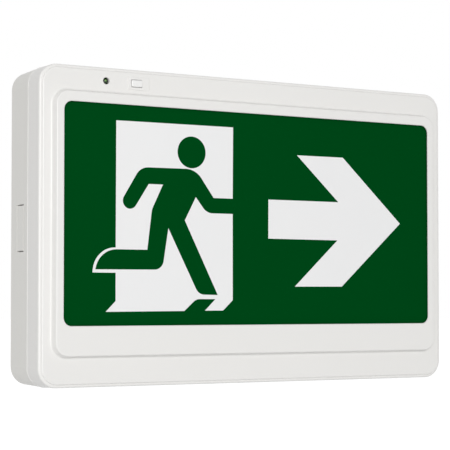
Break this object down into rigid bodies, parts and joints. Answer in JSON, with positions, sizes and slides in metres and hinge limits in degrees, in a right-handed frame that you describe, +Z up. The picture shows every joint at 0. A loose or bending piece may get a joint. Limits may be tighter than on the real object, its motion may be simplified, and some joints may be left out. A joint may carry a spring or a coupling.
{
  "type": "emergency exit light",
  "caption": "Wall-mounted emergency exit light: shallow white housing, raised bezel round a wide legend panel, status lamp and sprung test button above it.",
  "frame": {"origin": "centre of the cable entry in the back wall, on the plane that meets the wall", "axes": "+X to the right as the sign is read, +Y into the wall, +Z up; the sign faces -Y"},
  "size_m": [0.31, 0.053, 0.203],
  "materials": {
    "housing_back": "fine moulded satin",
    "housing_front": "fine moulded satin",
    "legend": "smooth green sheet with white sign fields",
    "opal": "opal",
    "reflector": "white satin",
    "strip_board": "white solder mask",
    "emitter": "phosphor window in a white case",
    "rubber_black": "matt rubber",
    "circuit_board": "green solder mask",
    "screw_steel": "zinc plated",
    "lamp_lens": "green moulded lens",
    "black_plastic": "moulded satin",
    "button_white": "moulded satin",
    "ferrite": "sintered dark grey",
    "winding_tape": "yellow tape",
    "capacitor_sleeve": "shrunk sleeve",
    "nylon": "natural nylon",
    "fuse_glass": "glass tube with plated caps, read as one sealed piece",
    "spring_brass": "tinned brass",
    "terminal_plastic": "moulded satin",
    "cell_sleeve": "shrunk sleeve",
    "strap_steel": "zinc plated strip"
  },
  "bodies": {
    "housing": {"back_box": "housing_back", "battery_cell_1": "cell_sleeve", "battery_cell_2": "cell_sleeve", "battery_cell_3": "cell_sleeve", "battery_cradle": "black_plastic", "battery_header": "nylon", "battery_strap": "strap_steel", "control_chip": "black_plastic", "diffuser": "opal", "driver_board": "circuit_board", "driver_board_screws": "screw_steel", "front_cover": "housing_front", "fuse": "fuse_glass", "fuse_clip_1": "spring_brass", "fuse_clip_2": "spring_brass", "lamp_header": "nylon", "lamp_spacer": "black_plastic", "legend_panel": "legend", "lower_strip_board": "strip_board", "lower_strip_lamps": "emitter", "mains_capacitor": "capacitor_sleeve", "output_capacitor_1": "capacitor_sleeve", "output_capacitor_2": "capacitor_sleeve", "panel_board": "circuit_board", "panel_board_screws": "screw_steel", "power_transistor": "black_plastic", "reflector_tray": "reflector", "status_lamp": "lamp_lens", "strap_screws": "screw_steel", "switch_case": "black_plastic", "terminal_block": "terminal_plastic", "terminal_screws": "screw_steel", "transformer_bobbin": "winding_tape", "transformer_core": "ferrite", "upper_strip_board": "strip_board", "upper_strip_lamps": "emitter", "wire_grommet": "rubber_black"},
    "button": {"test_button": "button_white", "switch_stem": "button_white"}
  },
  "joints": [
    {"name": "test_button_press", "type": "slide", "parent": "housing", "child": "button", "axis": [0, 1, 0], "range_m": [0, 0.0012], "stiffness_N_per_m": 800, "springref_m": -0.0006}
  ]
}
